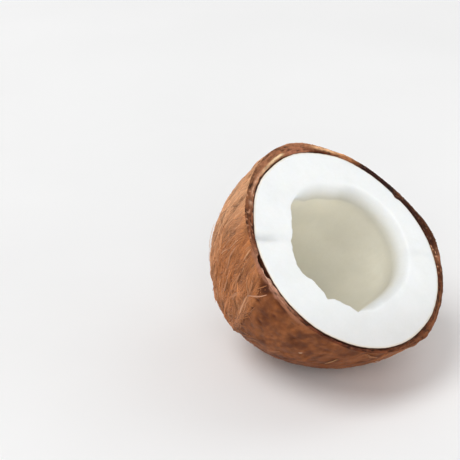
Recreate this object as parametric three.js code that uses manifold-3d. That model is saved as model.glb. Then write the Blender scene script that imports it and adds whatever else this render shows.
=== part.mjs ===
// Half of a mature coconut, cut across and lying tilted on its rounded side.
// Two solids: the hard brown shell with its coir, and the white meat with its hollow.
// Millimetres, +Z up. The origin is under the middle of the half, on the surface it lies on.
import * as THREE from "three";
import { mergeVertices } from "three/addons/utils/BufferGeometryUtils.js";
import Module from "manifold-3d";

// ---- Driving dimensions -------------------------------------------------------------------
// The half is described in its own frame first: the cut face is the plane z = 0, the fruit's
// axis runs down to the pole at z = -SHELL_DEPTH, and angles go round the axis from +X.
const CUT_TILT_DEG = 41.8; // the cut face's normal leans this far from +Z, towards -Y
const SHELL_DEPTH = 70; // cut face to the outside of the pole
const SHELL_WALL = 4.6; // shell and coir together at the pole
const MEAT_GAP = 0.3; // clearance between the shell's inside and the meat
const HOLLOW_DEPTH = 48; // cut face to the bottom of the hollow
const LIP_DEPTH = 2.5; // height of the rounded lip of the hollow
const REST_FLAT = 1.3; // how much the side it lies on is flattened

// Outlines in the cut face, as a mean radius and then a cosine and sine amount for each
// harmonic round the axis.
const RIM_OUTER = [51.64, 0.42, 1.34, -0.6, -0.36, 0.02, -1.08, 0.4, -0.25, 0.17, -0.37];
const MEAT_OUTER = [48.07, 0.12, 0.13, -0.04, 0.01, -0.24, -0.63, 0.06, -0.2, -0.08, -0.2];
const HOLLOW_EDGE = [30.82, 2.05, 1.78, 1.37, 0.99, 0.5, -0.68, 0.34, -0.16];
// The lip is wide and soft on one side of the hollow and sharp on the other.
const LIP_WIDTH = [1.3, 0.9, 0.1];

// How the side bulges between rim and pole: amounts for cos a, sin a, cos 2a, sin 2a, ...
const SIDE_BULGE = [0.0175, 0.0582, -0.0115, -0.0141, -0.0162, 0.0147];
const SIDE_POWER = 1.072; // fullness of the side
const POLE_POWER = 0.827; // bluntness of the pole
const AXIS_LEAN = [-0.005, 0.0185]; // how far the pole stands off the axis, per mm of depth

const ROUND = 48; // steps round the axis
const SIDE_RINGS = 9; // steps from the pole to the rim
const HOLLOW_RINGS = 7; // steps from the bottom of the hollow to its lip

// ---- Shape --------------------------------------------------------------------------------
const wave = (c, a) => {
  let r = c[0];
  for (let k = 1; 2 * k < c.length + 1; k++)
    r += c[2 * k - 1] * Math.cos(k * a) + (c[2 * k] || 0) * Math.sin(k * a);
  return r;
};

// A point of the rounded side: t = 0 at the pole, 1 at the cut face.
function side(outline, depth, a, t) {
  const tau = (t * Math.PI) / 2;
  const s = Math.sin(tau);
  const c = t === 1 ? 0 : Math.cos(tau);
  let bulge = 0;
  for (let k = 1; k <= 3; k++)
    bulge +=
      SIDE_BULGE[2 * k - 2] * Math.cos(k * a) +
      SIDE_BULGE[2 * k - 1] * Math.sin(k * a);
  const r0 = outline[0] + (wave(outline, a) - outline[0]) * s * s;
  const r = t === 0 ? 0 : r0 * s ** SIDE_POWER * (1 + Math.sin(2 * tau) * bulge);
  const d = t === 1 ? 0 : depth * c ** POLE_POWER;
  return [
    r * Math.cos(a) + AXIS_LEAN[0] * d,
    r * Math.sin(a) + AXIS_LEAN[1] * d,
    -d,
  ];
}

// A point of the hollow: t = 0 at its bottom, 1 where the lip starts.
function hollow(a, t) {
  const tau = (t * Math.PI) / 2;
  const edge = HOLLOW_EDGE[0] + (wave(HOLLOW_EDGE, a) - HOLLOW_EDGE[0]) * t * t;
  const r = t === 0 ? 0 : edge * Math.sin(tau) ** 0.92;
  const d =
    LIP_DEPTH + (t === 1 ? 0 : (HOLLOW_DEPTH - LIP_DEPTH) * Math.cos(tau) ** 0.95);
  return [r * Math.cos(a), r * Math.sin(a), -d];
}

// A closed solid turned from rows of points. The first and the last row are poles on the axis.
function turned(rows) {
  const profile = rows.map(
    (row, j) =>
      new THREE.Vector2(j === 0 || j === rows.length - 1 ? 0 : 10, row(0)[2]),
  );
  const g = new THREE.LatheGeometry(profile, ROUND);
  const p = g.getAttribute("position");
  for (let i = 0; i <= ROUND; i++) {
    const a = ((i % ROUND) / ROUND) * 2 * Math.PI;
    rows.forEach((row, j) => p.setXYZ(i * rows.length + j, ...row(a)));
  }
  return g;
}

const steps = (n) => Array.from({ length: n + 1 }, (_, i) => i / n);
const meatOutline = MEAT_OUTER;
const shellInside = [MEAT_OUTER[0] + MEAT_GAP, ...MEAT_OUTER.slice(1)];

// Shell: up the outside from the pole, across the cut rim, and down the inside.
const shellRows = [
  ...steps(SIDE_RINGS).map((t) => (a) => side(RIM_OUTER, SHELL_DEPTH, a, t)),
  ...steps(SIDE_RINGS)
    .reverse()
    .map((t) => (a) => side(shellInside, SHELL_DEPTH - SHELL_WALL, a, t)),
];

// Meat: up the outside, across the cut face, over the lip and down into the hollow.
const lipRow = (a) => {
  const r = wave(HOLLOW_EDGE, a) + wave(LIP_WIDTH, a);
  return [r * Math.cos(a), r * Math.sin(a), 0];
};
const meatRows = [
  ...steps(SIDE_RINGS).map(
    (t) => (a) => side(meatOutline, SHELL_DEPTH - SHELL_WALL - MEAT_GAP, a, t),
  ),
  lipRow,
  ...steps(HOLLOW_RINGS)
    .reverse()
    .map((t) => (a) => hollow(a, t)),
];

// ---- Solids -------------------------------------------------------------------------------
const wasm = await Module();
wasm.setup();

function toSolid(geometry) {
  const g = geometry.clone();
  g.deleteAttribute("normal");
  g.deleteAttribute("uv");
  const m = mergeVertices(g, 1e-3);
  const p = m.getAttribute("position").array;
  const index = Array.from(m.index.array);
  const tri = [];
  // The rows that meet on the axis leave triangles with two corners alike.
  for (let i = 0; i < index.length; i += 3) {
    const [u, v, w] = index.slice(i, i + 3);
    if (u !== v && v !== w && w !== u) tri.push(u, v, w);
  }
  let volume = 0;
  const at = (i) => new THREE.Vector3(p[3 * i], p[3 * i + 1], p[3 * i + 2]);
  for (let i = 0; i < tri.length; i += 3)
    volume += at(tri[i]).dot(at(tri[i + 1]).cross(at(tri[i + 2])));
  if (volume < 0)
    for (let i = 0; i < tri.length; i += 3)
      [tri[i + 1], tri[i + 2]] = [tri[i + 2], tri[i + 1]];
  return new wasm.Manifold(
    new wasm.Mesh({
      numProp: 3,
      vertProperties: new Float32Array(p),
      triVerts: new Uint32Array(tri),
    }),
  );
}

function toGeometry(solid) {
  const m = solid.getMesh();
  const v = new Float32Array(m.numVert * 3);
  for (let i = 0; i < m.numVert; i++)
    v.set(m.vertProperties.subarray(i * m.numProp, i * m.numProp + 3), i * 3);
  const g = new THREE.BufferGeometry();
  g.setAttribute("position", new THREE.BufferAttribute(v, 3));
  g.setIndex(new THREE.BufferAttribute(new Uint32Array(m.triVerts), 1));
  g.computeVertexNormals();
  return g;
}

// The half leans over, and the side it lies on is flattened a little.
const tilt = new THREE.Matrix4().makeRotationX(
  THREE.MathUtils.degToRad(CUT_TILT_DEG),
);
const shellTurned = turned(shellRows).applyMatrix4(tilt);
shellTurned.computeBoundingBox();
const floor = shellTurned.boundingBox.min.z + REST_FLAT;
const slab = new THREE.BoxGeometry(400, 400, 100).translate(0, 0, floor - 50);

const shellSolid = toSolid(shellTurned).subtract(toSolid(slab));
const meatSolid = toSolid(turned(meatRows).applyMatrix4(tilt));

// ---- Scene graph --------------------------------------------------------------------------
const shell = new THREE.Mesh(
  toGeometry(shellSolid),
  new THREE.MeshStandardMaterial({
    color: new THREE.Color().setRGB(0.62, 0.41, 0.27, THREE.SRGBColorSpace),
    roughness: 0.9,
    metalness: 0,
  }),
);
shell.name = "shell";

const meat = new THREE.Mesh(
  toGeometry(meatSolid),
  new THREE.MeshStandardMaterial({
    color: new THREE.Color().setRGB(0.95, 0.95, 0.93, THREE.SRGBColorSpace),
    roughness: 0.45,
    metalness: 0,
  }),
);
meat.name = "meat";

const half = new THREE.Group();
half.add(shell, meat);
const box = new THREE.Box3().setFromObject(half);
half.position.set(
  -(box.min.x + box.max.x) / 2,
  -(box.min.y + box.max.y) / 2,
  -floor,
);

const group = new THREE.Group();
group.add(half);
export default group;
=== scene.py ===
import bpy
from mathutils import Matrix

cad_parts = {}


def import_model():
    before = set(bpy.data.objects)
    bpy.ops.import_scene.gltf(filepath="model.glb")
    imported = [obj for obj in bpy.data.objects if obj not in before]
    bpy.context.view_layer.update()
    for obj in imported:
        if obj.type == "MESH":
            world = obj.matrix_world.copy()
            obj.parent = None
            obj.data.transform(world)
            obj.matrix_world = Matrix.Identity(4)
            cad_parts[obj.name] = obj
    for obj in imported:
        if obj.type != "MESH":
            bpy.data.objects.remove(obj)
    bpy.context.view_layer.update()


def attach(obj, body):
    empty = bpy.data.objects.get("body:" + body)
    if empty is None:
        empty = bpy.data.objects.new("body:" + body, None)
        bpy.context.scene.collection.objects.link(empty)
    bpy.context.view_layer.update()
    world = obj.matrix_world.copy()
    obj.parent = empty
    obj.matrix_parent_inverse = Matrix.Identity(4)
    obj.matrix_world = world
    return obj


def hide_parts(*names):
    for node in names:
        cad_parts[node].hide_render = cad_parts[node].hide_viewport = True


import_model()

import math

import bpy
import numpy as np
from mathutils import Matrix, Vector

# ---------------------------------------------------------------- the half's own frame, in mm
# The cut face is z = 0, the pole is at z = -DEPTH, angles go round the axis from +X.
TILT = math.radians(41.8)
SHIFT = np.array([-0.689, -13.442, 60.515])
ROT = np.array(
    [
        [1, 0, 0],
        [0, math.cos(TILT), -math.sin(TILT)],
        [0, math.sin(TILT), math.cos(TILT)],
    ]
)
DEPTH = 70.0
WALL = 4.6
RIM = [51.64, 0.42, 1.34, -0.6, -0.36, 0.02, -1.08, 0.4, -0.25, 0.17, -0.37]
MEAT = [48.07, 0.12, 0.13, -0.04, 0.01, -0.24, -0.63, 0.06, -0.2, -0.08, -0.2]
BULGE = [0.0175, 0.0582, -0.0115, -0.0141, -0.0162, 0.0147]
LEAN = (-0.005, 0.0185)


def world(p):
    return (p @ ROT.T + SHIFT) / 1000.0


def wave(c, a):
    r = c[0] + 0 * a
    for k in range(1, (len(c) - 1) // 2 + 1):
        r = r + c[2 * k - 1] * np.cos(k * a) + c[2 * k] * np.sin(k * a)
    return r


def side(outline, depth, a, t):
    """Points of the rounded side: t = 0 at the pole, 1 at the cut."""
    a, t = np.broadcast_arrays(np.asarray(a, float), np.asarray(t, float))
    tau = t * math.pi / 2
    s, c = np.sin(tau), np.clip(np.cos(tau), 0, 1)
    bulge = sum(
        BULGE[2 * k - 2] * np.cos(k * a) + BULGE[2 * k - 1] * np.sin(k * a)
        for k in (1, 2, 3)
    )
    r = outline[0] + (wave(outline, a) - outline[0]) * s * s
    r = r * s**1.072 * (1 + np.sin(2 * tau) * bulge)
    d = depth * np.where(t > 0.99999, 0.0, c) ** 0.827
    return np.stack(
        [r * np.cos(a) + LEAN[0] * d, r * np.sin(a) + LEAN[1] * d, -d], -1
    )


def side_normal(outline, depth, a, t):
    e = 1e-3
    t0, t1 = np.clip(t - e, 0.002, 1), np.clip(t + e, 0.003, 1)
    dt = side(outline, depth, a, t1) - side(outline, depth, a, t0)
    tt = np.clip(t, 0.01, 1)
    da = side(outline, depth, a + e, tt) - side(outline, depth, a - e, tt)
    n = np.cross(da, dt)
    n /= np.linalg.norm(n, axis=-1, keepdims=True) + 1e-12
    return n


def smooth(x, lo, hi):
    u = np.clip((x - lo) / (hi - lo), 0, 1)
    return u * u * (3 - 2 * u)


# arc length from pole to rim against t, so that rows can be evenly spaced
_t = np.linspace(0, 1, 801)
_arc = np.concatenate(
    [
        [0],
        np.cumsum(
            np.linalg.norm(
                np.diff(
                    side(RIM, DEPTH, np.linspace(0, 2 * math.pi, 24)[:, None], _t),
                    axis=1,
                ),
                axis=-1,
            ).mean(0)
        ),
    ]
)
ARC = float(_arc[-1])


def t_of(s):
    return np.interp(s, _arc, _t)


# radius of the outer rim and of the meat every 8 degrees, in mm
RIM_R = np.array(
    [
        53.0, 52.0, 51.4, 51.0, 51.1, 51.6, 52.1, 52.4, 53.2, 54.3, 55.2, 55.1, 54.8, 54.3, 53.6,
        52.9, 52.3, 52.0, 51.7, 50.9, 50.5, 50.3, 50.6, 51.2, 51.1, 50.9, 50.8, 50.5, 50.4, 50.5,
        50.4, 50.4, 50.4, 50.4, 50.7, 51.9, 51.4, 51.2, 51.4, 51.8, 52.3, 52.9, 53.7, 54.7, 54.6,
    ]
)
MEAT_R = np.array(
    [
        48.2, 47.8, 47.2, 47.4, 47.6, 47.8, 48.5, 48.6, 48.4, 48.7, 49.0, 48.8, 48.4, 48.1, 48.3,
        48.1, 47.8, 47.2, 47.2, 47.5, 47.7, 47.7, 47.8, 48.2, 48.3, 48.3, 48.5, 48.2, 47.9, 48.0,
        47.8, 47.8, 47.8, 47.7, 47.6, 47.5, 47.7, 48.1, 48.2, 48.5, 48.7, 48.8, 48.7, 48.8, 48.4,
    ]
)


def ring(table, a):
    deg = np.degrees(a) % 360
    x = np.arange(-2, len(table) + 2) * 8.0
    y = np.take(table, np.arange(-2, len(table) + 2), mode="wrap")
    return sum(np.interp(deg + k, x, y) for k in (-4, -2, 0, 2, 4)) / 5


# broad swellings of the side: angle, arc length, widths of both, height in mm
SWELL = [(221, 66, 30, 21, 1.25), (156, 60, 22, 16, -0.8), (111, 84, 18, 14, -0.8)]


def skin(a, s):
    """Mean surface of the shell and its normal at angle a and arc length s."""
    t = t_of(s)
    p = side(RIM, DEPTH, a, t)
    n = side_normal(RIM, DEPTH, a, t)
    extra = (ring(RIM_R, a) - wave(RIM, a)) * smooth(s, ARC - 20, ARC - 2)
    p = p + np.stack([np.cos(a) * extra, np.sin(a) * extra, 0 * extra], -1)
    deg = np.degrees(a) % 360
    swell = 0
    for a0, s0, wa, ws, v in SWELL:
        swell = swell + v * np.exp(-(((deg - a0) / wa) ** 2) - ((s - s0) / ws) ** 2)
    return p + n * swell[..., None], n


# ---------------------------------------------------------------- noise
_GRAD = np.array(
    [
        (1, 1, 0), (-1, 1, 0), (1, -1, 0), (-1, -1, 0), (1, 0, 1), (-1, 0, 1),
        (1, 0, -1), (-1, 0, -1), (0, 1, 1), (0, -1, 1), (0, 1, -1), (0, -1, -1),
    ],
    float,
)


def perlin(p, seed):
    """Gradient noise, about -1 to 1, of points p (..., 3)."""
    perm = np.random.RandomState(seed).permutation(256)
    perm = np.concatenate([perm, perm, perm])
    p = np.asarray(p, float)
    i = np.floor(p).astype(int)
    f = p - i
    i &= 255
    u = f * f * f * (f * (f * 6 - 15) + 10)
    out = 0
    for dx in (0, 1):
        for dy in (0, 1):
            for dz in (0, 1):
                h = perm[perm[perm[i[..., 0] + dx] + i[..., 1] + dy] + i[..., 2] + dz] % 12
                g = _GRAD[h]
                d = (
                    g[..., 0] * (f[..., 0] - dx)
                    + g[..., 1] * (f[..., 1] - dy)
                    + g[..., 2] * (f[..., 2] - dz)
                )
                w = (
                    (u[..., 0] if dx else 1 - u[..., 0])
                    * (u[..., 1] if dy else 1 - u[..., 1])
                    * (u[..., 2] if dz else 1 - u[..., 2])
                )
                out = out + w * d
    return out


def fbm(p, seed, octaves=4, gain=0.5):
    out, amp, q = 0, 1.0, np.asarray(p, float)
    for k in range(octaves):
        out = out + amp * perlin(q * 2.0**k, seed + k)
        amp *= gain
    return out


SLANT = 0.2  # how far the fibres lean off the meridians


def along(a, s, across, length, seed, warp=1.2):
    """Noise drawn out along the meridians, as coir fibres run. Sizes in mm."""
    base = np.stack([np.cos(a) * 44, np.sin(a) * 44, s + 0 * a], -1)
    bend = perlin(base / 17.0, seed + 31) * warp * 3.0 + SLANT * (s - 60.0)
    aa = a + bend / 44.0
    q = np.stack(
        [np.cos(aa) * 44 / across, np.sin(aa) * 44 / across, (s + 0 * a) / length], -1
    )
    return q


# ---------------------------------------------------------------- mesh helpers
def mesh_object(name, verts, faces, tint=None, uv=None, material=None, smooth_shade=True):
    me = bpy.data.meshes.new(name)
    me.from_pydata(verts.tolist() if isinstance(verts, np.ndarray) else verts, [], faces)
    me.update()
    if tint is not None:
        layer = me.color_attributes.new("Tint", "FLOAT_COLOR", "POINT")
        rgba = np.ones((len(verts), 4), np.float32)
        rgba[:, :3] = tint
        layer.data.foreach_set("color", rgba.ravel())
    if uv is not None:
        layer = me.uv_layers.new(name="OFBake")
        layer.data.foreach_set("uv", np.asarray(uv, np.float32).ravel())
    if smooth_shade:
        me.polygons.foreach_set("use_smooth", [True] * len(me.polygons))
    ob = bpy.data.objects.new(name, me)
    bpy.context.scene.collection.objects.link(ob)
    if material:
        me.materials.append(material)
    return ob


def grid_faces(rows, cols):
    """Faces of a closed surface of `rows` rings of `cols` points, with a pole vertex at each end."""
    faces = []
    j = np.arange(cols)
    k = (j + 1) % cols
    for r in range(rows - 1):
        a, b = 1 + r * cols, 1 + (r + 1) * cols
        faces += np.stack([a + j, a + k, b + k, b + j], 1).tolist()
    first = np.stack([0 * j, 1 + k, 1 + j], 1).tolist()
    last = 1 + rows * cols
    off = 1 + (rows - 1) * cols
    end = np.stack([off + j, off + k, 0 * j + last], 1).tolist()
    return first + faces + end


def grid_uv(v, cols):
    """Corners for grid_faces: once round the axis along u, ring by ring along v."""
    j = np.arange(cols)
    u0 = 0.002 + 0.996 * j / cols
    u1 = 0.002 + 0.996 * (j + 1) / cols
    uc = (u0 + u1) / 2
    z = 0 * u0
    out = [np.stack([uc, z + v[0], u1, z + v[1], u0, z + v[1]], 1).reshape(-1, 2)]
    for r in range(len(v) - 3):
        a, b = v[r + 1], v[r + 2]
        out.append(np.stack([u0, z + a, u1, z + a, u1, z + b, u0, z + b], 1).reshape(-1, 2))
    out.append(np.stack([u1, z + v[-2], u0, z + v[-2], uc, z + v[-1]], 1).reshape(-1, 2))
    return np.concatenate(out)


def shares(*parts):
    """Ring positions along v: parts are (number of rings, share of the map)."""
    v, at, total = [], 0.004, sum(p[1] for p in parts)
    for count, share in parts:
        step = 0.992 * share / total / count
        for _ in range(count):
            v.append(at)
            at += step
    return np.array(v)


def srgb(r, g, b):
    c = np.array([r, g, b], float) / 255.0
    return np.where(c <= 0.04045, c / 12.92, ((c + 0.055) / 1.055) ** 2.4)


# ---------------------------------------------------------------- where the coir is torn away
def place_of(a, s):
    return np.stack([np.cos(a) * 44, np.sin(a) * 44, s + 0 * a], -1)


TORN_S = np.array([0, 45, 52, 63, 75, 82, 86, 89, 93, 97], float)
TORN_A = np.array([187, 183.5, 182.5, 182, 181.3, 180.6, 178, 176, 173.5, 169])


def mat_cover(a, s):
    """1 where the thick fibre mat is, 0 where it is rubbed off and the bare shell shows."""
    deg = np.degrees(a) % 360
    p = place_of(a, s)
    edge = 1.3 * perlin(p / 6.0, 5) + 0.8 * perlin(p / 2.0, 6)  # mm
    d = deg + edge / 44.0 * 57.3
    left = np.interp(s, TORN_S, TORN_A)
    bare = smooth(d, left - 0.5, left + 0.5)
    bare = bare * (1 - smooth(d + 9 * perlin(p / 9.0, 7), 250, 285))
    bare = bare * smooth(s + 5 * edge, 24, 40)
    # one more rubbed patch on the far side
    patch = perlin(p / 30.0, 77) + 0.35 * perlin(p / 8.0, 78)
    bare2 = smooth(patch, 0.34, 0.42) * (1 - smooth(np.abs(deg - 60), 60, 90)) * smooth(s, 10, 20)
    return 1 - np.maximum(bare, 0.8 * bare2)


# hollows, also darkened in colour, partly their own darker brown and partly painted shade: angle, arc length,
# half-length round, half-length along, strength
SPOTS = [
    (178.0, 92.6, 3.0, 2.9, 1.1), (189.5, 93.8, 3.6, 0.9, 0.8), (192.5, 92.0, 0.9, 2.0, 0.6),
    (191.0, 86.2, 1.2, 1.3, 0.8), (189.0, 75.4, 1.7, 1.3, 0.8), (180.6, 77.9, 1.1, 0.9, 1.0),
    (179.6, 84.3, 1.3, 0.7, 1.0), (205.0, 84.0, 2.4, 1.4, 0.5), (221.0, 88.0, 2.0, 1.5, 0.5),
    (198.0, 66.0, 2.2, 1.6, 0.4), (228.0, 70.0, 2.6, 1.3, 0.4), (212.0, 58.0, 2.0, 1.7, 0.4),
]


def spots(a, s):
    deg = np.degrees(a) % 360
    out = 0
    for a0, s0, ra, rs, v in SPOTS:
        x = (deg - a0) / 57.3 * 46
        out = out + v * np.exp(-((x / ra) ** 2) - ((s - s0) / rs) ** 2)
    return out


def relief(a, s):
    """Height in mm of the shell's surface above its mean, and the noises behind it."""
    p = place_of(a, s)
    cover = mat_cover(a, s)
    broad = perlin(p / 15.0, 11)
    tuft = fbm(along(a, s, 2.6, 11.0, 21), 21, 3)
    fine = fbm(along(a, s, 1.0, 6.0, 41), 41, 2)
    ridged = 1 - np.abs(fbm(along(a, s, 3.6, 16.0, 51), 51, 2)) * 2
    clump = fbm(along(a, s, 3.4, 13.0, 91), 91, 2)
    coir = 0.44 * broad + 0.66 * clump + 0.20 * tuft + 0.10 * fine + 0.34 * ridged
    q = p * [1, 1, 0.6]
    pits = perlin(q / 3.6, 61)
    small = fbm(q / 1.7, 71, 2)
    bare = 0.34 * broad + 0.30 * perlin(q / 6.5, 63) + 0.20 * pits + 0.10 * small
    bare = bare - 0.24 * smooth(-pits, 0.2, 0.5)
    dents = spots(a, s)
    fade = 1 - smooth(s, ARC - 2.5, ARC)
    h = cover * (coir - 0.15) + (1 - cover) * (bare - 0.55) - 0.55 * dents
    return h * (0.35 + 0.65 * fade), cover, tuft, fine, ridged, pits, small, broad, dents


def coir_colour(a, s):
    """Slow change of the coir's colour over the surface, with painted light and shade: lighter on the raised clumps,
    darker in the valleys between them.
    """
    deg = np.degrees(a) % 360
    p = place_of(a, s)
    m = smooth(deg, 120, 156) * (1 - smooth(deg, 300, 350))
    m = np.clip(m + 0.30 * perlin(p / 20.0, 821), 0, 1)[..., None]
    c = srgb(216, 162, 121) * (1 - m) + srgb(176, 113, 68) * m
    clump = fbm(along(a, s, 3.4, 13.0, 91), 91, 2)
    # painted light and shade: clump also raises the surface in relief(), so these terms lighten the ridges and darken
    # the valleys
    k = 1 + 0.12 * perlin(p / 9.0, 822) + 0.09 * perlin(p / 3.0, 823) + 0.26 * clump
    k = k * (1 - 0.30 * smooth(-clump, 0.22, 0.6))
    return c * k[..., None]


# ================================================================ materials
def nodes_of(mat):
    mat.use_nodes = True
    nt = mat.node_tree
    nt.nodes.clear()
    out = nt.nodes.new("ShaderNodeOutputMaterial")
    bsdf = nt.nodes.new("ShaderNodeBsdfPrincipled")
    nt.links.new(bsdf.outputs[0], out.inputs[0])
    return nt, bsdf


def noise_node(nt, scale, detail=4.0, rough=0.55, coord=None, stretch=None):
    tex = nt.nodes.new("ShaderNodeTexNoise")
    tex.inputs["Scale"].default_value = scale
    tex.inputs["Detail"].default_value = detail
    tex.inputs["Roughness"].default_value = rough
    if coord is None:
        tc = nt.nodes.new("ShaderNodeTexCoord")
        coord = tc.outputs["Object"]
    if stretch is not None:
        mp = nt.nodes.new("ShaderNodeMapping")
        mp.inputs["Rotation"].default_value = stretch[0]
        mp.inputs["Scale"].default_value = stretch[1]
        nt.links.new(coord, mp.inputs[0])
        coord = mp.outputs[0]
    nt.links.new(coord, tex.inputs["Vector"])
    return tex


def ramp(nt, src, stops):
    r = nt.nodes.new("ShaderNodeValToRGB")
    els = r.color_ramp.elements
    while len(els) < len(stops):
        els.new(0.5)
    for e, (pos, col) in zip(els, stops):
        e.position = pos
        e.color = (*col, 1.0) if len(col) == 3 else col
    nt.links.new(src, r.inputs[0])
    return r


def mix(nt, kind, fac, a, b):
    m = nt.nodes.new("ShaderNodeMix")
    m.data_type = "RGBA"
    m.blend_type = kind
    if isinstance(fac, (int, float)):
        m.inputs[0].default_value = fac
    else:
        nt.links.new(fac, m.inputs[0])
    for sock, v in ((m.inputs[6], a), (m.inputs[7], b)):
        if isinstance(v, (tuple, list, np.ndarray)):
            sock.default_value = (*[float(x) for x in v], 1.0)
        else:
            nt.links.new(v, sock)
    return m.outputs[2]


def tint_of(nt):
    at = nt.nodes.new("ShaderNodeAttribute")
    at.attribute_name = "Tint"
    return at.outputs["Color"]


def bump(nt, bsdf, src, strength, distance, prev=None):
    b = nt.nodes.new("ShaderNodeBump")
    b.inputs["Strength"].default_value = strength
    b.inputs["Distance"].default_value = distance
    nt.links.new(src, b.inputs["Height"])
    if prev is not None:
        nt.links.new(prev, b.inputs["Normal"])
    nt.links.new(b.outputs[0], bsdf.inputs["Normal"])
    return b.outputs[0]


def make_meat_material():
    mat = bpy.data.materials.new("coconut_meat")
    nt, bsdf = nodes_of(mat)
    n1 = noise_node(nt, 90, 3)
    soft = ramp(nt, n1.outputs[0], [(0.3, (0.955, 0.957, 0.955)), (0.7, (1.0, 1.0, 1.0))])
    n2 = noise_node(nt, 900, 2)
    grain = ramp(nt, n2.outputs[0], [(0.35, (0.985, 0.985, 0.98)), (0.65, (1.0, 1.0, 1.0))])
    c = mix(nt, "MULTIPLY", 1.0, tint_of(nt), soft.outputs[0])
    c = mix(nt, "MULTIPLY", 1.0, c, grain.outputs[0])
    nt.links.new(c, bsdf.inputs["Base Color"])
    r = ramp(nt, n1.outputs[0], [(0.3, (0.42,) * 3), (0.7, (0.56,) * 3)])
    nt.links.new(r.outputs[0], bsdf.inputs["Roughness"])
    bsdf.inputs["IOR"].default_value = 1.42
    bsdf.inputs["Specular IOR Level"].default_value = 0.35
    bsdf.inputs["Subsurface Weight"].default_value = 0.35
    bsdf.inputs["Subsurface Radius"].default_value = (1.0, 0.85, 0.7)
    bsdf.inputs["Subsurface Scale"].default_value = 0.003
    n3 = noise_node(nt, 450, 3)
    first = bump(nt, bsdf, n3.outputs[0], 0.12, 0.0004)
    n4 = noise_node(nt, 2600, 2)
    bump(nt, bsdf, n4.outputs[0], 0.08, 0.00015, first)
    return mat


def make_shell_material():
    mat = bpy.data.materials.new("coconut_shell")
    nt, bsdf = nodes_of(mat)
    n1 = noise_node(nt, 240, 5, 0.6)
    patch = ramp(nt, n1.outputs[0], [(0.30, (0.84, 0.80, 0.76)), (0.52, (1.0, 1.0, 1.0)), (0.72, (1.14, 1.13, 1.10))])
    n2 = noise_node(nt, 1500, 3, 0.6)
    grain = ramp(nt, n2.outputs[0], [(0.3, (0.90, 0.88, 0.86)), (0.7, (1.08, 1.08, 1.08))])
    c = mix(nt, "MULTIPLY", 1.0, tint_of(nt), patch.outputs[0])
    c = mix(nt, "MULTIPLY", 1.0, c, grain.outputs[0])
    nt.links.new(c, bsdf.inputs["Base Color"])
    r = ramp(nt, n1.outputs[0], [(0.3, (0.50,) * 3), (0.7, (0.72,) * 3)])
    nt.links.new(r.outputs[0], bsdf.inputs["Roughness"])
    bsdf.inputs["Specular IOR Level"].default_value = 0.16
    n3 = noise_node(nt, 800, 4, 0.65)
    first = bump(nt, bsdf, n3.outputs[0], 0.40, 0.0005)
    n4 = noise_node(nt, 3200, 2, 0.6)
    bump(nt, bsdf, n4.outputs[0], 0.35, 0.00025, first)
    return mat


def make_coir_material():
    mat = bpy.data.materials.new("coir_fibre")
    nt, bsdf = nodes_of(mat)
    n1 = noise_node(nt, 420, 3, 0.6)
    patch = ramp(nt, n1.outputs[0], [(0.28, (0.86, 0.83, 0.80)), (0.5, (1.0, 1.0, 1.0)), (0.74, (1.12, 1.11, 1.10))])
    c = mix(nt, "MULTIPLY", 1.0, tint_of(nt), patch.outputs[0])
    nt.links.new(c, bsdf.inputs["Base Color"])
    r = ramp(nt, n1.outputs[0], [(0.3, (0.68,) * 3), (0.7, (0.86,) * 3)])
    nt.links.new(r.outputs[0], bsdf.inputs["Roughness"])
    bsdf.inputs["Specular IOR Level"].default_value = 0.15
    bsdf.inputs["Sheen Weight"].default_value = 0.1
    bsdf.inputs["Sheen Roughness"].default_value = 0.5
    n3 = noise_node(nt, 3500, 2, 0.6)
    bump(nt, bsdf, n3.outputs[0], 0.3, 0.0002)
    return mat


def make_floor_material():
    mat = bpy.data.materials.new("pale_floor_painted_glow")
    nt, bsdf = nodes_of(mat)
    n1 = noise_node(nt, 6, 3)
    c = ramp(nt, n1.outputs[0], [(0.3, (0.90, 0.90, 0.90)), (0.7, (0.93, 0.93, 0.93))])
    nt.links.new(c.outputs[0], bsdf.inputs["Base Color"])
    bsdf.inputs["Roughness"].default_value = 0.9
    bsdf.inputs["Specular IOR Level"].default_value = 0.1
    # painted light: the floor glows, more with the distance from the middle, so it is paler far off than near the half
    tc = nt.nodes.new("ShaderNodeTexCoord")
    mp = nt.nodes.new("ShaderNodeMapping")
    mp.inputs["Scale"].default_value = (0.25, 0.25, 0.25)
    nt.links.new(tc.outputs["Object"], mp.inputs[0])
    far = nt.nodes.new("ShaderNodeVectorMath")
    far.operation = "LENGTH"
    nt.links.new(mp.outputs[0], far.inputs[0])
    e = ramp(nt, far.outputs["Value"], [(0.025, (0.0,) * 3), (0.08, (0.09,) * 3), (0.22, (0.2,) * 3), (0.7, (0.58,) * 3)])
    nt.links.new(e.outputs[0], bsdf.inputs["Emission Color"])
    bsdf.inputs["Emission Strength"].default_value = 1.0
    return mat


MEAT_MAT = make_meat_material()
SHELL_MAT = make_shell_material()
COIR_MAT = make_coir_material()
FLOOR_MAT = make_floor_material()

# ================================================================ meat
# the hollow's edge as it is in the cut face: angle in degrees, radius in mm
EDGE = np.array(
    [
        (0, 34.9), (12, 35.4), (27, 34.6), (38, 34.0), (51, 32.6), (67, 32.6), (82, 32.8),
        (95, 32.0), (108, 31.6), (116, 31.2), (120, 30.3), (129, 28.5), (144, 27.9),
        (152, 29.1), (164, 30.2), (174, 31.0), (182, 31.0), (189, 29.1), (196, 29.0),
        (204, 29.6), (209, 31.2), (215, 28.9), (223, 29.0), (229, 29.3), (234, 30.2),
        (238, 31.1), (250, 28.6), (262, 26.8), (284, 26.6), (303, 28.6), (318, 31.0),
        (331, 32.0), (346, 33.8),
    ]
)


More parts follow.
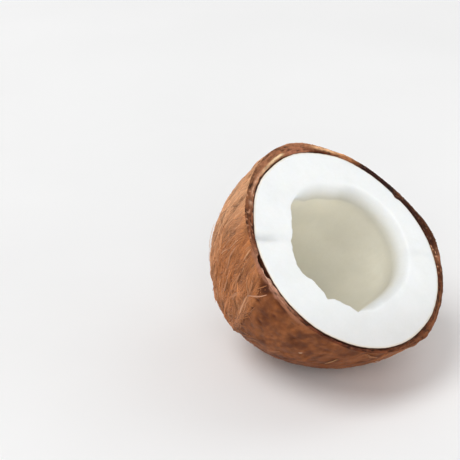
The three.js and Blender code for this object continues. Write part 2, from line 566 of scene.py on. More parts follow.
def edge_radius(a):
    deg = np.degrees(a) % 360
    x = np.concatenate([EDGE[:, 0] - 360, EDGE[:, 0], EDGE[:, 0] + 360])
    y = np.tile(EDGE[:, 1], 3)
    raw = np.interp(deg, x, y)
    # the far part of the edge is smooth, the near part keeps its corners
    far = sum(np.interp((deg + k) % 360, x, y) for k in range(-14, 15, 2)) / 15
    keep = sharpness(a)
    p = np.stack([np.cos(a) * 30, np.sin(a) * 30, 0 * a], -1)
    chips = 0.45 * perlin(p / 2.6, 301) + 0.22 * perlin(p / 1.1, 302)
    return far * (1 - keep) + (raw + chips) * keep


def sharpness(a):
    """1 on the side where the hollow's edge is crisp, 0 where it is rounded."""
    deg = np.degrees(a) % 360
    return smooth(deg, 84, 112) * (1 - smooth(deg, 236, 256))


HOLLOW_DEPTH = 47.0


def build_meat():
    cols = 432
    a = np.arange(cols) / cols * 2 * math.pi
    q0 = np.stack([np.cos(a) * 48, np.sin(a) * 48, 0 * a], -1)
    mean_r = wave(MEAT, a)
    out_r = ring(MEAT_R, a) + 0.12 * perlin(q0 / 2.4, 351) - 0.9 * np.exp(-(((np.degrees(a) - 13) / 2.2) ** 2))
    rows, tints = [], []
    white = srgb(241, 243, 243)
    beige = srgb(226, 222, 207)
    testa = srgb(74, 38, 22)

    def add(p, tint):
        rows.append(p)
        tints.append(np.broadcast_to(tint, (cols, 3)))

    # outside, against the shell: the thin brown seed coat
    for t in np.linspace(0.06, 1, 15)[:-1]:
        add(side(MEAT, DEPTH - WALL - 0.3, a, t), testa)
    for dz, dr in ((-2.6, 0.0), (-0.5, 0.0), (-0.12, -0.10)):
        p = np.stack([(out_r + dr) * np.cos(a), (out_r + dr) * np.sin(a), 0 * a + dz], -1)
        add(p, testa)
    # cut face, from the seed coat in to the start of the hollow's lip
    e = edge_radius(a)
    keep = sharpness(a)
    lip_w = 0.35 + 5.4 * (1 - keep)
    lip_d = 0.45 + 6.2 * (1 - keep)
    top = smooth(np.degrees(a), 40, 62) * (1 - smooth(np.degrees(a), 100, 118))
    start = e + 0.3 + (2.8 - 1.7 * top) * (1 - keep)
    # painted shade: how much the far side is darkened just under the lip
    lip_painted_shade_amount = 0.15 * (1 - keep) * (1 - 0.85 * top)
    r0 = out_r - 0.32
    n_face = 26
    for i in range(n_face):
        u = (i / (n_face - 1)) ** 0.9
        r = r0 + (start - r0) * u
        q = np.stack([r * np.cos(a), r * np.sin(a), 0 * a], -1)
        z = 0.10 * perlin(q / 7.0, 401) + 0.05 * perlin(q / 2.2, 402)
        z = z * smooth(u, 0.02, 0.3)
        # the furrow that runs across the ring on one side, and two shallow dents
        x, y = q[..., 0], q[..., 1]
        ax, ay, bx, by = -42.5, 22.9, -26.1, 14.6
        L = math.hypot(bx - ax, by - ay)
        ux, uy = (bx - ax) / L, (by - ay) / L
        sx = (x - ax) * ux + (y - ay) * uy
        sy = -(x - ax) * uy + (y - ay) * ux + 0.5 * np.sin(sx / 3.0)
        furrow = np.exp(-((sy / np.where(sy > 0, 2.0, 1.6)) ** 2))
        furrow = furrow * smooth(sx, -4, 0) * (1 - 0.85 * smooth(sx, 6, 17))
        z = z - 1.2 * furrow
        for cx, cy, rr, dd in ((-30, 30, 6, 0.35), (-12, 39, 5, 0.25), (-36, -8, 5, 0.3), (10, -37, 7, 0.3)):
            z = z - dd * np.exp(-(((x - cx) ** 2 + (y - cy) ** 2) / rr**2))
        q[..., 2] = z
        edge_mix = 0.8 * (1 - smooth(r0 - r, 0.0, 0.45))[:, None]
        # painted shade: the white of the cut face is darkened in the furrow and towards the lower side of the ring
        painted_low_shade = smooth(-0.26 * x - 0.97 * y, 18, 46)
        shade = (1 - 0.20 * furrow)[:, None] - painted_low_shade[:, None] * np.array([0.135, 0.155, 0.165])
        add(q, (white * (1 - edge_mix) + srgb(238, 224, 202) * edge_mix) * shade)
        face_z = z
    # rounded lip; on the far side the white goes over into beige slowly, partly the hollow's own greyer tone and partly
    # painted shade on its far wall, with more painted shade just under the far lip
    m_lo, m_hi = 0.8 * keep - 0.8 * (1 - keep), 5.0 * keep + 10.0 * (1 - keep)
    for i in range(1, 9):
        ph = i / 8 * math.pi / 2
        r = start - lip_w * np.sin(ph) * 0.9
        zz = face_z - lip_d * (1 - np.cos(ph))
        q = np.stack([r * np.cos(a), r * np.sin(a), zz], -1)
        m = smooth(-zz, m_lo, m_hi)[:, None]
        lip_painted_shade = (1 - lip_painted_shade_amount * smooth(-zz, 0.0, 0.8))[:, None]
        add(q, (white * (1 - m) + beige * m) * lip_painted_shade)
    lip_z = zz
    lip_r = r
    # the hollow
    n_in = 46
    for i in range(1, n_in):
        u = i / n_in
        ph = u * math.pi / 2
        # the wall goes down and only then in
        f = math.cos(ph) ** 0.9
        mean = lip_r.mean()
        rr = (lip_r * (1 - smooth(u, 0, 0.5)) + (mean + 0.4 * (lip_r - mean)) * smooth(u, 0, 0.5)) * f
        undercut = 1.4 * keep * math.sin(min(1, u * 5) * math.pi / 2) * (1 - u)
        rr = rr + undercut
        zz = lip_z + (-(HOLLOW_DEPTH) - lip_z) * math.sin(ph)
        q = np.stack([rr * np.cos(a), rr * np.sin(a), zz], -1)
        nrm = -q / (np.linalg.norm(q * [1, 1, 0.7], axis=-1, keepdims=True) + 1e-9)
        w = 0.5 * perlin(q / 13.0, 501) + 0.16 * perlin(q / 5.0, 502) + 0.05 * perlin(q / 1.8, 503)
        q = q + nrm * (w * smooth(u, 0, 0.15))[:, None]
        m = smooth(-zz, m_lo, m_hi)[:, None]
        # painted light and shade inside: paler towards the top and most near the lip, darker towards the lower right,
        # over a slow random change of tone
        tone = 1 + 0.04 * perlin(q / 16.0, 511)
        tone = tone - 0.13 * smooth(q[:, 0] * 0.77 - q[:, 1] * 0.64, -14, 26)
        tone = (tone + (0.12 + 0.16 * (1 - smooth(-zz, 6, 22))) * smooth(q[:, 1], 4, 28))[:, None]
        # painted shade, darkest a little way under the far lip
        lip_painted_shade = (1 - lip_painted_shade_amount * (1 - smooth(-zz, 5.0, 12.0)))[:, None]
        add(q, (white * (1 - m) + beige * m * tone) * lip_painted_shade)
    rows = np.stack(rows)
    pole0 = side(MEAT, DEPTH - WALL - 0.3, 0.0, 0.0)
    pole1 = np.array([0, 0, -HOLLOW_DEPTH])
    verts = np.concatenate([pole0[None], rows.reshape(-1, 3), pole1[None]])
    col = np.concatenate([testa[None], np.concatenate(tints), beige[None]])
    faces = grid_faces(len(rows), cols)
    v = shares((18, 0.12), (n_face, 0.32), (9, 0.12), (len(rows) + 2 - 27 - n_face, 0.44))
    return mesh_object("meat_body", world(verts), faces, col, grid_uv(v, cols), MEAT_MAT)


# ================================================================ shell
# the sawn rim by angle: colour of its outer half, colour of its inner half, depth of the dark
# crack between shell and meat (0 to 1)
# The darkest browns, from about 340 round to 40 degrees, are partly the cut shell's own colour and partly painted shade
# on the side away from the key light; the crack's darkening is painted shade too.
RIM_LOOK = [
    (0, (68, 33, 18), (50, 20, 10), 0.0), (9, (70, 36, 18), (46, 18, 8), 0.0),
    (13, (104, 60, 34), (72, 38, 20), 0.1), (18, (48, 18, 9), (38, 11, 5), 0.1),
    (38, (58, 22, 11), (44, 14, 5), 0.1), (42, (150, 98, 58), (100, 56, 30), 0.0),
    (46, (190, 130, 84), (150, 96, 60), 0.0), (54, (214, 160, 114), (160, 104, 70), 0.2),
    (59, (240, 190, 144), (110, 60, 32), 0.6), (66, (236, 186, 142), (78, 36, 15), 0.8),
    (70, (172, 118, 84), (100, 56, 34), 0.5), (76, (166, 110, 80), (152, 98, 72), 0.1),
    (84, (160, 106, 76), (166, 108, 82), 0.0), (90, (150, 98, 68), (158, 104, 72), 0.45),
    (106, (146, 98, 70), (166, 114, 82), 0.5), (118, (130, 84, 56), (172, 118, 86), 0.25),
    (128, (120, 76, 50), (146, 95, 67), 0.05), (136, (116, 70, 44), (130, 80, 54), 0.0),
    (146, (116, 68, 41), (120, 68, 42), 0.1), (150, (118, 68, 42), (112, 60, 36), 0.7), (152, (120, 70, 44), (116, 64, 40), 0.1), (158, (130, 82, 56), (118, 68, 44), 0.3),
    (163, (162, 112, 86), (168, 124, 100), 1.0), (174, (184, 146, 124), (190, 154, 132), 1.0),
    (180, (178, 130, 108), (170, 126, 104), 0.5), (190, (160, 112, 88), (142, 98, 76), 0.2),
    (200, (118, 68, 44), (90, 46, 28), 0.5), (212, (100, 50, 30), (68, 27, 13), 0.9),
    (232, (96, 50, 30), (62, 26, 11), 0.7), (243, (112, 62, 38), (80, 40, 20), 0.2),
    (262, (112, 64, 38), (84, 44, 22), 0.0), (288, (130, 80, 50), (100, 56, 32), 0.1),
    (306, (124, 78, 50), (112, 70, 46), 0.1), (318, (104, 58, 32), (84, 42, 20), 0.0),
    (328, (104, 58, 32), (92, 50, 26), 0.0), (334, (160, 108, 80), (134, 88, 60), 0.0),
    (340, (82, 44, 22), (72, 34, 16), 0.0), (352, (78, 40, 18), (60, 28, 11), 0.0),
    (360, (68, 33, 18), (50, 20, 10), 0.0),
]


def rim_look(a, which):
    deg = np.degrees(a) % 360
    tab = [row[0] for row in RIM_LOOK]
    if which == "crack":
        return np.interp(deg, tab, [row[3] for row in RIM_LOOK])
    k = 1 if which == "outer" else 2
    return np.stack(
        [np.interp(deg, tab, [srgb(*row[k])[c] for row in RIM_LOOK]) for c in range(3)], -1
    )


def pared(a):
    """1 over the short stretch where the coir stops a few millimetres short of the rim."""
    deg = np.degrees(a) % 360
    return smooth(deg, 156, 163) * (1 - smooth(deg, 183, 190))


def rim_edge(c, a, s):
    """On one side the last millimetres before the rim take the rim's darker colour, which there is partly painted
    shade.
    """
    deg = np.degrees(a) % 360
    near = smooth(s, ARC - 4.5, ARC - 1.0) * np.maximum(1 - smooth(deg, 34, 52), smooth(deg, 240, 262))
    near = 0.8 * near[..., None]
    return c * (1 - near) + rim_look(a, "outer") * near


def build_shell():
    cols = 520
    n_side = 150
    a = np.arange(cols) / cols * 2 * math.pi
    deg = np.degrees(a)
    rows, tints = [], []

    mid = srgb(160, 98, 58)
    dark = srgb(112, 64, 38)
    bare_c = srgb(123, 69, 33)
    bare_d = srgb(80, 38, 14)
    bare_l = srgb(147, 91, 53)

    def lerp(x, y, m):
        m = np.clip(m, 0, 1)[:, None]
        return x * (1 - m) + y * m

    s_rows = np.linspace(1.2, ARC, n_side)
    for s in s_rows:
        ss = np.full(cols, s)
        p, n = skin(a, ss)
        h, cover, tuft, fine, ridged, pits, small, broad, dents = relief(a, ss)
        p = p + n * (h - 0.55)[:, None]
        p[:, 2] -= 0.42 * smooth(ss, ARC - 1.6, ARC)
        c = coir_colour(a, ss)
        # painted light and shade: lighter where tufts and fibres stand up, darker towards mid and dark brown in the
        # crevices between them
        c = c * (1 + 0.16 * tuft + 0.10 * fine)[:, None]
        c = lerp(c, mid, smooth(-(tuft + 0.4 * fine), 0.0, 0.5) * 0.7)
        c = lerp(c, dark, smooth(-(tuft + 0.5 * fine), 0.30, 0.75) * 0.7)
        # the dents are darkened, partly painted shade in the hollows
        c = lerp(c, dark, 0.8 * dents)
        c = rim_edge(c, a, ss)
        pale = 0.30 * (1 - smooth(deg, 190, 222)) + 0.25 * smooth(deg, 238, 252)
        b = lerp(bare_c, bare_l, pale + 0.55 * broad + 0.35 * small)
        on = place_of(a, ss) * [1, 1, 0.55]
        patchy = fbm(on / 6.0, 65, 3)
        b = lerp(b, bare_d, smooth(-patchy, 0.05, 0.5) * 0.62)
        b = lerp(b, bare_l, smooth(patchy, 0.2, 0.6) * 0.5)
        # painted shade: darker in the pits, which are sunken in relief()
        b = lerp(b, bare_d, smooth(-pits - 0.3 * small, 0.15, 0.6) * 0.3)
        # the dents are darkened, partly painted shade in the hollows
        b = lerp(b, bare_d, np.clip(1.3 * dents, 0, 1))
        b = b * (1 + 0.16 * small + 0.30 * perlin(on / 2.3, 66))[:, None]
        lip = smooth(ss, ARC - 3.4, ARC - 1.6) * smooth(deg, 181, 187) * (1 - smooth(deg, 198, 209))
        b = lerp(b, srgb(172, 118, 90), 0.6 * lip)
        c = lerp(b, c, cover)
        strip = pared(a) * smooth(ss + 0.9 * small, ARC - 2.8, ARC - 1.2)
        c = lerp(c, srgb(160, 110, 88) * (1 + 0.3 * small)[:, None], 0.8 * strip)
        rows.append(p)
        tints.append(c)
    # the sawn rim
    q0 = np.stack([np.cos(a) * 50, np.sin(a) * 50, 0 * a], -1)
    outer = rows[-1]
    r_out = np.hypot(outer[:, 0], outer[:, 1]) + 0.18 * perlin(q0 / 1.6, 604)
    r_out = r_out - 0.7 * np.exp(-(((deg - 84) / 0.9) ** 2)) + 0.16 * perlin(q0 / 0.9, 609)
    r_in = ring(MEAT_R, a) + 0.12 + 0.12 * perlin(q0 / 2.4, 351)
    r_in = r_in - 0.9 * np.exp(-(((deg - 13) / 2.2) ** 2))
    width = r_out - r_in
    look_o, look_i, crack = (rim_look(a, k) for k in ("outer", "inner", "crack"))
    crack = np.clip(crack + 0.35 * perlin(q0 / 3.0, 605), 0, 1)
    cream = srgb(250, 216, 172)
    gap_painted_shade = srgb(40, 17, 8)
    n_rim = 18
    for i in range(1, n_rim + 1):
        w = i / n_rim
        r = r_out + (r_in - r_out) * w
        q = np.stack([np.cos(a) * r, np.sin(a) * r, 0 * a], -1)
        streak = perlin(np.stack([np.cos(a) * 50 / 4.5, np.sin(a) * 50 / 4.5, r * 1.9], -1), 601)
        blot = perlin(np.stack([np.cos(a) * 50 / 2.4, np.sin(a) * 50 / 2.4, r * 0.8], -1), 608)
        grit = perlin(q / 1.1, 602)
        split = perlin(np.stack([np.cos(a) * 50 / 13.0, np.sin(a) * 50 / 13.0, r * 0.7], -1), 603)
        z = 0.40 * streak + 0.34 * grit + 0.34 * split + 0.2 * blot
        z = z * smooth(w + 0 * a, 0.0, 0.25) - 0.42 * (1 - smooth(w + 0 * a, 0.0, 0.3))
        z = z * smooth(1 - w + 0 * a, 0.0, 0.12)
        inward = (1 - w) * width
        gap_w = 0.10 + 0.66 * crack + 0.5 * smooth(crack, 0.85, 1.0) + 0.6 * smooth(deg, 162, 166) * (1 - smooth(deg, 173, 177))
        g = 1 - smooth(inward, 0.35 * gap_w, gap_w)
        # a pale splinter that stands up on the inner part of the rim
        sp = smooth(deg, 88, 93) * (1 - 0.55 * smooth(deg, 99, 104)) * (1 - smooth(deg, 108, 114))
        sp_mid = 1.35 + 0.25 * np.sin(np.radians(deg * 9))
        sp = sp * np.exp(-(((inward - sp_mid) / 0.62) ** 4))
        sp2 = smooth(deg, 110, 113) * (1 - smooth(deg, 126, 130))
        sp2 = sp2 * np.exp(-(((inward - 1.45) / 0.45) ** 2)) * (0.7 + 0.6 * perlin(q0 / 1.2, 606))
        blob = np.exp(-(((deg - 132.5) / 1.3) ** 2) - (((inward - 1.5) / 0.9) ** 2))
        sp2 = np.maximum(sp2, 0.9 * blob)
        fleck = smooth(perlin(q / 1.3, 607), 0.26, 0.46) * np.interp(
            deg, [0, 118, 128, 168, 180, 322, 328, 340, 345, 360], [0.15, 0.2, 0.7, 0.5, 0.1, 0.1, 0.9, 0.9, 0.15, 0.15]
        )
        z = z + 0.7 * sp + 0.4 * sp2 + 0.2 * fleck
        z = z - (0.15 + 1.8 * crack) * g
        q[:, 2] = z - 0.1
        half = smooth(w + 0.12 * streak, 0.30, 0.72)
        c = lerp(look_o, look_i, half)
        # painted light and shade, over the rim's own streaky colour: lighter where streaks, grit, splits and blots
        # stand up, much darker in its sunken grooves
        c = c * (1 + 0.50 * streak + 0.34 * grit + 0.16 * split + 0.36 * blot)[:, None]
        c = lerp(c, c * 0.42, smooth(-(streak + 0.5 * grit + 0.3 * split + 0.5 * blot), 0.2, 0.6))
        c = lerp(c, srgb(208, 156, 122), fleck)
        c = lerp(c, cream, sp)
        c = lerp(c, srgb(226, 178, 146), 0.8 * sp2)
        # painted shade: the crack between shell and meat is made very dark
        c = lerp(c, gap_painted_shade, g * (0.10 + 0.85 * smooth(crack, 0.05, 0.85)))
        rows.append(q)
        tints.append(c)
    # inside, against the meat
    inner = [MEAT[0] + 0.3] + MEAT[1:]
    # the gap's walls are made very dark, painted shade
    for z in (-2.5, -3.2):
        rows.append(np.stack([np.cos(a) * (r_in + 0.1), np.sin(a) * (r_in + 0.1), 0 * a + z], -1))
        tints.append(np.broadcast_to(gap_painted_shade, (cols, 3)))
    for t in np.linspace(0.965, 0.06, 15):
        rows.append(side(inner, DEPTH - WALL, a, t))
        tints.append(np.broadcast_to(srgb(60, 32, 20), (cols, 3)))
    rows = np.stack(rows)
    pole0 = side(RIM, DEPTH, 0.0, 0.0) + np.array([0, 0, 0.5])
    pole1 = side(inner, DEPTH - WALL, 0.0, 0.0)
    verts = world(np.concatenate([pole0[None], rows.reshape(-1, 3), pole1[None]]))
    verts[:, 2] = np.maximum(verts[:, 2], 0.00002)
    col = np.concatenate([mid[None], np.concatenate(tints), dark[None]])
    v = shares((n_side + 1, 0.76), (n_rim, 0.16), (len(rows) + 1 - n_side - n_rim, 0.08))
    return mesh_object("shell_body", verts, grid_faces(len(rows), cols), col, grid_uv(v, cols), SHELL_MAT)


# ================================================================ coir strands
def strands_object(name, paths, normals, half_w, height, tint, material):
    """Closed thin strands with a three-sided section. paths, normals (n, k, 3) in mm of the half's
    frame; half_w (n, k) and height (n, k) in mm; tint (n, k, 3)."""
    n, k, _ = paths.shape
    tan = np.gradient(paths, axis=1)
    tan /= np.linalg.norm(tan, axis=-1, keepdims=True) + 1e-9
    across = np.cross(tan, normals)
    across /= np.linalg.norm(across, axis=-1, keepdims=True) + 1e-9
    up = np.cross(across, tan)
    v = np.stack(
        [
            paths - across * half_w[..., None] - up * height[..., None] * 0.35,
            paths + across * half_w[..., None] - up * height[..., None] * 0.35,
            paths + up * height[..., None] * 0.65,
        ],
        2,
    )  # n, k, 3, 3
    verts = world(v.reshape(-1, 3))
    verts[:, 2] = np.maximum(verts[:, 2], 0.00002)
    base = (np.arange(n) * k * 3)[:, None, None]
    seg = (np.arange(k - 1) * 3)[None, :, None]
    quads = []
    for c in range(3):
        d = (c + 1) % 3
        quads.append(np.concatenate([base + seg + c, base + seg + d, base + seg + 3 + d, base + seg + 3 + c], -1))
    quads = np.stack(quads, 2).reshape(-1, 4)  # n*(k-1)*3
    b = np.arange(n) * k * 3
    cap0 = np.stack([b + 2, b + 1, b], 1)
    e = b + (k - 1) * 3
    cap1 = np.stack([e, e + 1, e + 2], 1)
    faces = quads.tolist() + cap0.tolist() + cap1.tolist()
    col = np.repeat(tint.reshape(-1, 3), 3, 0)
    # one cell of the map for each strand
    side_n = int(math.ceil(math.sqrt(n)))
    cell = 1.0 / side_n
    cx = (np.arange(n) % side_n) * cell
    cy = (np.arange(n) // side_n) * cell
    m = 0.12 * cell
    uu = np.linspace(0, 1, k)
    uv_q = np.zeros((n, k - 1, 3, 4, 2))
    for c in range(3):
        v0, v1 = c / 3, (c + 1) / 3
        for j, (du, vv) in enumerate(((0, v0), (0, v1), (1, v1), (1, v0))):
            u = uu[:-1] if du == 0 else uu[1:]
            uv_q[:, :, c, j, 0] = cx[:, None] + m + (cell - 2 * m) * u[None]
            uv_q[:, :, c, j, 1] = (cy + m + (cell - 2 * m) * vv)[:, None]
    cap_uv = np.zeros((2, n, 3, 2))
    for w, u in ((0, 0.0), (1, 1.0)):
        for j, vv in enumerate((0.02, 0.5, 0.98)):
            cap_uv[w, :, j, 0] = cx + m + (cell - 2 * m) * (u * 0.98 + 0.01)
            cap_uv[w, :, j, 1] = cy + m + (cell - 2 * m) * vv
    # keep the caps inside their cell with a little area
    cap_uv[0, :, 1, 0] += 0.03 * cell
    cap_uv[1, :, 1, 0] -= 0.03 * cell
    uv = np.concatenate([uv_q.reshape(-1, 2), cap_uv.reshape(-1, 2)])
    return mesh_object(name, verts, faces, col, uv, material)


def lay_strands(rng, a0, s0, heading, length, k, curl, lift, ends_up):
    """Paths that lie on the shell. heading is the angle in radians off the meridian."""
    n = len(a0)
    paths = np.zeros((n, k, 3))
    nrms = np.zeros((n, k, 3))
    where = np.zeros((n, k, 2))
    a, s = a0.copy(), s0.copy()
    head = heading.copy()
    step = length / (k - 1)
    for j in range(k):
        ss = np.clip(s, 0.6, ARC - 0.05)
        p, nn = skin(a, ss)
        h = relief(a, ss)[0]
        u = j / (k - 1)
        rise = lift + ends_up * (2 * abs(u - 0.5)) ** 3
        paths[:, j] = p + nn * (h - 0.55 + rise)[:, None]
        nrms[:, j] = nn
        where[:, j, 0], where[:, j, 1] = a, ss
        r = np.maximum(np.hypot(p[:, 0], p[:, 1]), 3.0)
        a = a + np.sin(head) * step / r
        s = s + np.cos(head) * step
        head = head + curl * step
    return paths, nrms, where


# line as (angle, arc length) points; how many; spread in mm; lift; half-width; colour
LOOSE = [
    ([(170.5, 91.5), (172.4, 88.5), (174.4, 85), (176.6, 81)], 6, 0.28, 0.12, 0.34, (182, 124, 84)),
    ([(175.2, 80), (176.4, 76), (177.8, 71.5), (179.4, 66)], 4, 0.30, 0.25, 0.36, (206, 150, 110)),
    ([(179.0, 72), (180.4, 65), (181.2, 58)], 4, 0.4, 0.15, 0.34, (176, 118, 78)),
    ([(172.5, 78), (171.0, 73), (171.5, 69)], 2, 0.4, 0.10, 0.52, (178, 122, 84)),
    ([(164.5, 84), (166.5, 78.5), (170.0, 73)], 2, 0.3, 0.10, 0.52, (180, 124, 86)),
    ([(158.5, 78), (161.5, 72), (163.5, 65)], 2, 0.3, 0.10, 0.55, (184, 128, 90)),
    ([(152.0, 88), (153.0, 82), (157.0, 76)], 2, 0.3, 0.10, 0.52, (186, 132, 96)),
    ([(175.5, 82.6), (178, 86.2), (180, 89.7), (181.2, 93.4)], 2, 0.10, 0.70, 0.20, (206, 152, 118)),
    ([(231.5, 75), (232, 79), (232, 83.5)], 2, 0.25, 0.35, 0.20, (176, 126, 82)),
    ([(214.4, 76.8), (215.6, 78.2)], 1, 0.1, 0.35, 0.26, (226, 188, 156)),
    ([(239, 95), (244, 92.5), (250, 91)], 5, 0.5, 0.3, 0.16, (172, 116, 76)),
    ([(204, 60), (207, 64), (208, 69)], 1, 0.1, 0.3, 0.12, (176, 120, 80)),
    ([(193, 55), (195, 60), (198, 62)], 1, 0.1, 0.4, 0.12, (190, 134, 92)),
    ([(133.5, 58), (129, 62), (125.5, 66)], 3, 0.5, 1.3, 0.12, (214, 168, 132)),
    ([(141, 56), (137, 61), (134, 67)], 3, 0.6, 1.2, 0.12, (206, 158, 120)),
]


def build_coir():
    light = srgb(236, 190, 150)
    dark = srgb(120, 72, 42)

    def batch(name, n_tuft, per, k, len_mu, width, seed, lift_mu, spread, loose):
        r = np.random.RandomState(seed)
        # tufts evenly over the surface: more where the ring is wider
        s = r.uniform(2, ARC - 1, n_tuft * 4)
        w = np.hypot(*np.moveaxis(side(RIM, DEPTH, np.zeros_like(s), t_of(s))[:, :2], 1, 0)) / 56.0
        s = s[r.uniform(0, 1, len(s)) < w + 0.05][:n_tuft]
        a = r.uniform(0, 2 * math.pi, len(s))
        cover = mat_cover(a, s)
        cover = cover * (1 - smooth(spots(a, s), 0.12, 0.4))
        keep = r.uniform(0, 1, len(s)) < np.maximum(cover, 0.0) ** 2 * (1 - (loose > 0.3) * smooth(s, ARC - 9, ARC - 5))
        a, s, cover = a[keep], s[keep], cover[keep]
        m = len(a)
        p = place_of(a, s)
        lean = -SLANT * smooth(s, 8, 30) + 0.50 * perlin(p / 16.0, 801) + 0.30 * perlin(p / 6.0, 802)
        lean = lean + r.normal(0, 0.06 + 0.8 * loose, m)
        tone = 0.12 * perlin(p / 5.0, 803) + r.normal(0, 0.05, m)
        high = lift_mu * r.uniform(0.3, 1.5, m) * (1 - 0.95 * smooth(s, ARC - 16, ARC - 4))
        # the single strands of each tuft
        A = np.repeat(a, per)
        S = np.repeat(s, per)
        n = len(A)
        rr = np.maximum(np.hypot(*np.moveaxis(side(RIM, DEPTH, A, t_of(S))[:, :2], 1, 0)), 4.0)
        A = A + r.normal(0, spread, n) / rr
        S = S + r.normal(0, 3.2, n)
        L = np.clip(r.lognormal(math.log(len_mu), 0.35, n), 2.5, 30.0)
        L = L * (0.45 + 0.55 * np.repeat(cover, per))
        S = np.minimum(S, ARC - 1.2 - 3.0 * pared(A))
        L = np.minimum(L, 2.0 * np.clip(ARC - 0.2 - 2.6 * pared(A) - S, 1.0, 99))
        head = np.repeat(lean, per) + r.normal(0, 0.10 + 0.5 * loose, n)
        curl = r.normal(0, 0.015 + 0.035 * loose, n)
        lift = 0.02 + 0.06 * (1 - smooth(S, ARC - 10, ARC - 3)) + np.repeat(high, per) * r.uniform(0.1, 1.0, n)
        ends = -lift * 0.9 - 0.1 + np.where(r.uniform(0, 1, n) < 0.02, r.uniform(0.3, 1.0, n), 0.0) * (width < 0.4) * (S < ARC - 12)
        S0 = np.clip(S - L / 2 * np.cos(head), 1.5, ARC - 0.5)
        A0 = A - L / 2 * np.sin(head) / rr
        # strands stop where they would reach into one of the small hollows
        for f in (0.6, 0.8, 1.0):
            hit = spots(A0 + f * L * np.sin(head) / rr, S0 + f * L * np.cos(head)) > 0.22
            L = np.where(hit, 0.55 * L, L)
        paths, nrms, where = lay_strands(r, A0, S0, head, L, k, curl, lift, ends)
        taper = np.sin(np.linspace(0.12, 0.88, k) * math.pi) ** 0.5
        W = (width * r.uniform(0.6, 1.35, n))[:, None] * taper[None]
        H = W * (r.uniform(0.7, 1.1, n) if width < 0.4 else r.uniform(0.45, 0.7, n))[:, None]
        c = coir_colour(A, np.clip(S, 0, ARC))
        c = c * (1 + np.repeat(tone, per) + r.normal(0, 0.05, n) + 0.05)[:, None]
        pick = r.uniform(0, 1, n)[:, None]
        c = np.where(pick < 0.05, 0.6 * c + 0.4 * light, c)
        c = np.where(pick > 0.96, 0.65 * c + 0.35 * dark, c)
        # the lower strands of a tuft are in its shade
        c = c * (0.90 + 0.14 * np.clip(lift / 0.7, 0, 1))[:, None]
        tint = np.repeat(c[:, None], k, 1)
        tint = rim_edge(tint, where[..., 0], where[..., 1])
        return strands_object(name, paths, nrms, W, H, tint, COIR_MAT)

    def bundles(name):
        """Fibres that were pulled loose where the mat is torn, each along its own line."""
        r = np.random.RandomState(31)
        paths, nrms, W, H, tint = [], [], [], [], []
        k = 9
        for line, count, spread, lift, width, colour in LOOSE:
            line = np.array(line, float)
            at = np.concatenate([[0], np.cumsum(np.hypot(np.diff(line[:, 0]) * 0.85, np.diff(line[:, 1])))])
            for _ in range(count):
                u0, u1 = sorted(r.uniform(0, 1, 2)) if count > 3 else (0.0, 1.0)
                u0, u1 = max(0.0, u0 - 0.25), min(1.0, u1 + 0.25)
                u = np.linspace(u0, u1, k) * at[-1]
                off = r.normal(0, spread, 2)[:, None] + np.cumsum(r.normal(0, 0.10 * spread, (2, k)), 1)
                a = np.radians(np.interp(u, at, line[:, 0]) + off[0] / 0.85)
                ss = np.clip(np.interp(u, at, line[:, 1]) + off[1], 1, ARC - 0.2)
                p, nn = skin(a, ss)
                h = relief(a, ss)[0].max() + lift * r.uniform(0.5, 1.2)
                paths.append(p + nn * (h - 0.55 + 0.12 * np.sin(np.linspace(0, math.pi, k)))[:, None])
                nrms.append(nn)
                taper = np.sin(np.linspace(0.1, 0.9, k) * math.pi) ** 0.5
                W.append(width * r.uniform(0.7, 1.3) * taper)
                H.append(W[-1] * 0.9)
                tint.append(np.tile(srgb(*colour) * r.uniform(0.85, 1.12), (k, 1)))
        return strands_object(name, *(np.array(x) for x in (paths, nrms, W, H, tint)), COIR_MAT)

    q = 1.0
    return [
        batch("coir_under", int(1500 * q), 4, 6, 13.0, 0.26, 11, 0.22, 1.6, 0.05),
        batch("coir_tufts", int(1000 * q), 6, 6, 9.0, 0.19, 12, 0.32, 0.8, 0.07),
        batch("coir_fuzz", int(900 * q), 3, 4, 4.0, 0.12, 13, 0.32, 1.6, 0.35),
        batch("coir_cords", int(640 * q), 1, 7, 8.0, 0.52, 14, 0.26, 0.4, 0.16),
        bundles("coir_loose"),
    ]


meat = build_meat()
shell = build_shell()
coir = build_coir()

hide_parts("meat")
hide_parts("shell")
for piece in [meat, shell, *coir]:
    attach(piece, "root")

# ================================================================ floor, light, camera
floor_mesh = bpy.data.meshes.new("floor")
S = 6.0
floor_mesh.from_pydata([(-S, -S, 0), (S, -S, 0), (S, S, 0), (-S, S, 0)], [], [(0, 1, 2, 3)])
floor_mesh.materials.append(FLOOR_MAT)
floor = bpy.data.objects.new("floor", floor_mesh)
bpy.context.scene.collection.objects.link(floor)

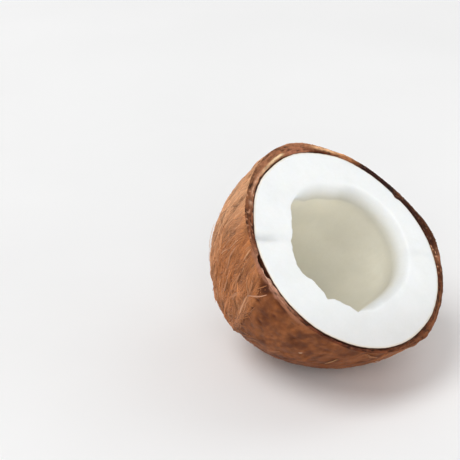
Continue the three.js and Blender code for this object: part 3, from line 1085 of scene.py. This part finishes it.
scene = bpy.context.scene
scene.view_settings.view_transform = "Standard"
w = bpy.data.worlds.new("studio")
scene.world = w
w.use_nodes = True
sky = w.node_tree.nodes["Background"]
sky.inputs[1].default_value = 1.0
way = w.node_tree.nodes.new("ShaderNodeTexCoord")
split_way = w.node_tree.nodes.new("ShaderNodeSeparateXYZ")
w.node_tree.links.new(way.outputs["Generated"], split_way.inputs[0])
glow = ramp(w.node_tree, split_way.outputs[2], [(0.07, (0.97, 0.97, 0.97)), (0.26, (0.37, 0.37, 0.37))])
w.node_tree.links.new(glow.outputs[0], sky.inputs[0])

AIM = Vector((0.0, -0.005, 0.045))


def area(name, az, el, dist, size, power):
    az, el = math.radians(az), math.radians(el)
    d = bpy.data.lights.new(name, "AREA")
    d.shape = "DISK"
    d.size = size
    d.energy = power
    o = bpy.data.objects.new(name, d)
    scene.collection.objects.link(o)
    o.location = AIM + dist * Vector(
        (math.sin(az) * math.cos(el), -math.cos(az) * math.cos(el), math.sin(el))
    )
    o.rotation_euler = (AIM - o.location).to_track_quat("-Z", "Y").to_euler()
    return o


area("key", -105, 60, 3.2, 2.0, 45.0)
area("front", -47, 30, 4.0, 2.8, 58.0)
area("top", 60, 58, 0.45, 0.3, 0.24)

CAM_AZ, CAM_EL = math.radians(-47.5406), math.radians(25.0)
right = Vector((math.cos(CAM_AZ), math.sin(CAM_AZ), 0))
back = Vector(
    (math.sin(CAM_AZ) * math.cos(CAM_EL), -math.cos(CAM_AZ) * math.cos(CAM_EL), math.sin(CAM_EL))
)
up = back.cross(right)
cut_centre = Vector(SHIFT / 1000)
place = cut_centre - (0.05095 * right - 0.00778 * up - 0.55379 * back)
cam_data = bpy.data.cameras.new("camera")
cam_data.lens = 100.0
cam_data.sensor_width = 36.0
cam_data.clip_start = 0.01
cam_data.clip_end = 50
cam = bpy.data.objects.new("camera", cam_data)
scene.collection.objects.link(cam)
m = Matrix((right, up, back)).transposed().to_4x4()
m.translation = place
cam.matrix_world = m
scene.camera = cam
